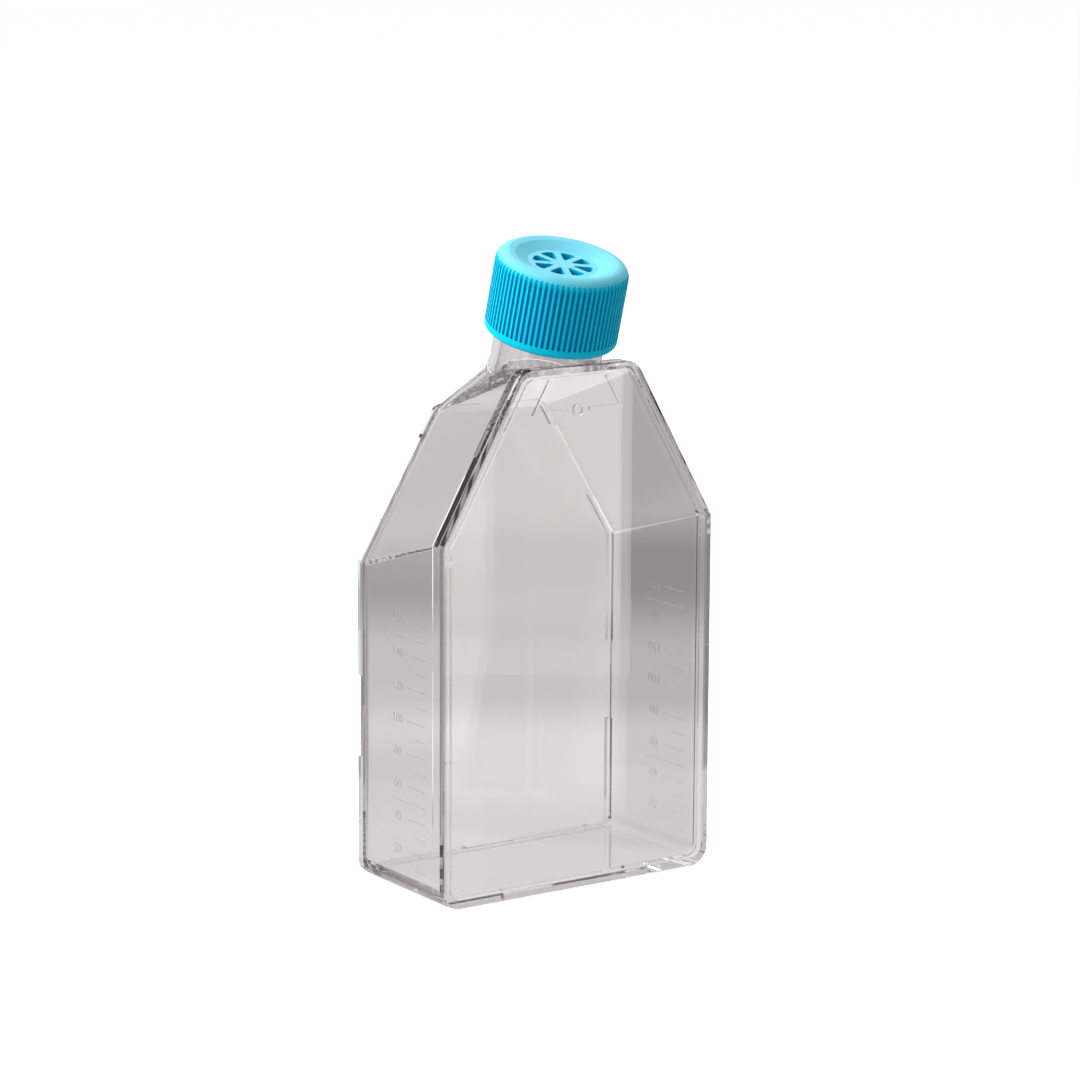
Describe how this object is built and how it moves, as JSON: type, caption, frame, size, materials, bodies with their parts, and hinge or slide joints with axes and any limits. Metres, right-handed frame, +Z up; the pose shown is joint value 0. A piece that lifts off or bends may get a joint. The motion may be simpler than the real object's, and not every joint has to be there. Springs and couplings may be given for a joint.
{
  "type": "cell culture flask",
  "caption": "Clear shouldered cell culture flask standing on its end wall, with a canted neck and a ribbed blue screw cap whose dished top is vented over a filter membrane.",
  "frame": {"origin": "centre of the outer face of the end wall that the flask stands on, midway between the rim of the top plate and the growth face", "axes": "+Z up along the flask towards the neck, X across the width, -Y out of the clear top plate, +Y out of the growth face"},
  "size_m": [0.078, 0.0467, 0.1556],
  "materials": {
    "clear_polystyrene": "clear, polished",
    "cap_plastic": "satin, moulded",
    "membrane": "matte, porous"
  },
  "bodies": {
    "flask": {"flask_tray": "clear_polystyrene", "top_plate": "clear_polystyrene"},
    "filter": {"filter_membrane": "membrane"},
    "cap": {"vent_cap": "cap_plastic"}
  },
  "joints": [
    {"name": "cap_lift", "type": "slide", "parent": "flask", "child": "filter", "axis": [0, -0.2756, 0.9613], "range_m": [0, 0.045]},
    {"name": "cap_turn", "type": "hinge", "parent": "filter", "child": "cap", "pos_m": [0, -0.0045, 0.127], "axis": [0, -0.2756, 0.9613], "range_deg": [0, 360]}
  ]
}
